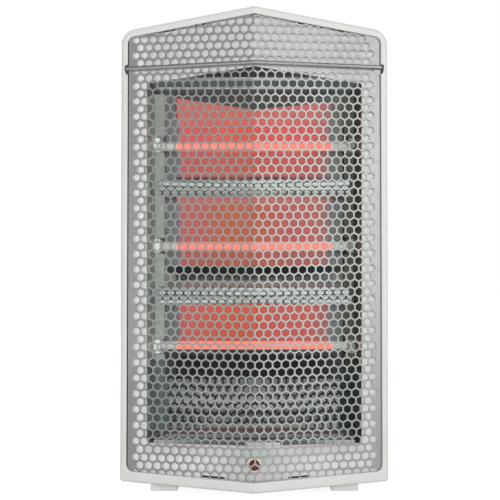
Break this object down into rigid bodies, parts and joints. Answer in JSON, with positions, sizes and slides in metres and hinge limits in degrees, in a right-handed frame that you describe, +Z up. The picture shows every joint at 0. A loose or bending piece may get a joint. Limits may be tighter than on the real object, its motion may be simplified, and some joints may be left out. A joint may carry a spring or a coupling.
{
  "type": "quartz heater",
  "caption": "Free-standing quartz heater: gabled white casing, folded hexagon guard over glowing tubes and polished troughs, pilot lamp, rear knobs and tip-over switch.",
  "frame": {"origin": "middle of the bounding box's underside, on the plane the feet stand on", "axes": "+Z up, the guarded front faces -Y, +X to the right seen from the front"},
  "size_m": [0.3172, 0.1933, 0.571],
  "materials": {
    "white_plastic": "satin moulded white",
    "white_enamel": "satin white enamel on sheet steel",
    "guard_enamel": "light grey enamel on perforated steel",
    "panel_enamel": "white enamel on sheet steel",
    "polished_aluminium": "polished reflector sheet",
    "zinc_steel": "zinc-plated sheet, slightly heat tinted",
    "quartz": "milky fused quartz",
    "hot_coil": "resistance wire at red heat",
    "ceramic": "unglazed steatite ceramic",
    "black_plastic": "fine textured black",
    "knob_plastic": "satin black",
    "bright_steel": "bright steel",
    "foot_plastic": "light grey moulded",
    "screw_steel": "zinc plated",
    "lamp_red": "clear red moulded",
    "lamp_cream": "cream moulded",
    "wire_sleeve": "woven glass sleeve"
  },
  "bodies": {
    "housing": {"front_bezel": "white_plastic", "back_cover": "white_plastic", "housing_wrap": "white_enamel", "grille": "guard_enamel", "grille_bar": "guard_enamel", "front_panel": "panel_enamel", "pilot_lamp_bracket": "panel_enamel", "reflector": "polished_aluminium", "divider_1": "polished_aluminium", "divider_2": "polished_aluminium", "lower_apron": "polished_aluminium", "base_pan": "zinc_steel", "lower_lip": "zinc_steel", "cavity_roof": "zinc_steel", "heat_shield": "zinc_steel", "rear_baffle": "zinc_steel", "cavity_side_left": "zinc_steel", "cavity_side_right": "zinc_steel", "tube_bracket_left": "zinc_steel", "tube_bracket_right": "zinc_steel", "quartz_tube_1": "quartz", "quartz_tube_2": "quartz", "quartz_tube_3": "quartz", "heating_coil_1": "hot_coil", "heating_coil_2": "hot_coil", "heating_coil_3": "hot_coil", "tube_cap_1_left": "ceramic", "tube_cap_1_right": "ceramic", "tube_cap_2_left": "ceramic", "tube_cap_2_right": "ceramic", "tube_cap_3_left": "ceramic", "tube_cap_3_right": "ceramic", "control_plate": "black_plastic", "handle_cup": "black_plastic", "heat_selector_switch": "black_plastic", "thermostat_body": "black_plastic", "tip_over_switch": "black_plastic", "cord_inlet_bush": "black_plastic", "pilot_lamp_body": "black_plastic", "tip_over_spring": "bright_steel", "thermal_cutout": "bright_steel", "foot_left": "foot_plastic", "foot_right": "foot_plastic", "back_screw_1": "screw_steel", "back_screw_2": "screw_steel", "back_screw_3": "screw_steel", "back_screw_4": "screw_steel", "foot_screw_left_1": "screw_steel", "foot_screw_left_2": "screw_steel", "foot_screw_right_1": "screw_steel", "foot_screw_right_2": "screw_steel", "pilot_lamp_lens": "lamp_red", "pilot_lamp_bezel": "lamp_cream", "terminal_block": "lamp_cream", "wiring_harness": "wire_sleeve"},
    "heat_selector": {"heat_selector_knob": "knob_plastic", "heat_selector_shaft": "bright_steel"},
    "thermostat": {"thermostat_knob": "knob_plastic", "thermostat_shaft": "bright_steel"},
    "tip_over_foot": {"tip_over_plunger": "lamp_red"}
  },
  "joints": [
    {"name": "heat_selector_turn", "type": "hinge", "parent": "housing", "child": "heat_selector", "pos_m": [0.038, 0.0782, 0.483], "axis": [0, -1, 0], "range_deg": [0, 180]},
    {"name": "thermostat_turn", "type": "hinge", "parent": "housing", "child": "thermostat", "pos_m": [-0.038, 0.0782, 0.483], "axis": [0, -1, 0], "range_deg": [0, 270]},
    {"name": "tip_over_slide", "type": "slide", "parent": "housing", "child": "tip_over_foot", "axis": [0, 0, -1], "range_m": [0, 0.005], "stiffness_N_per_m": 120, "springref_m": 0.008, "deforming": ["tip_over_spring"]}
  ]
}
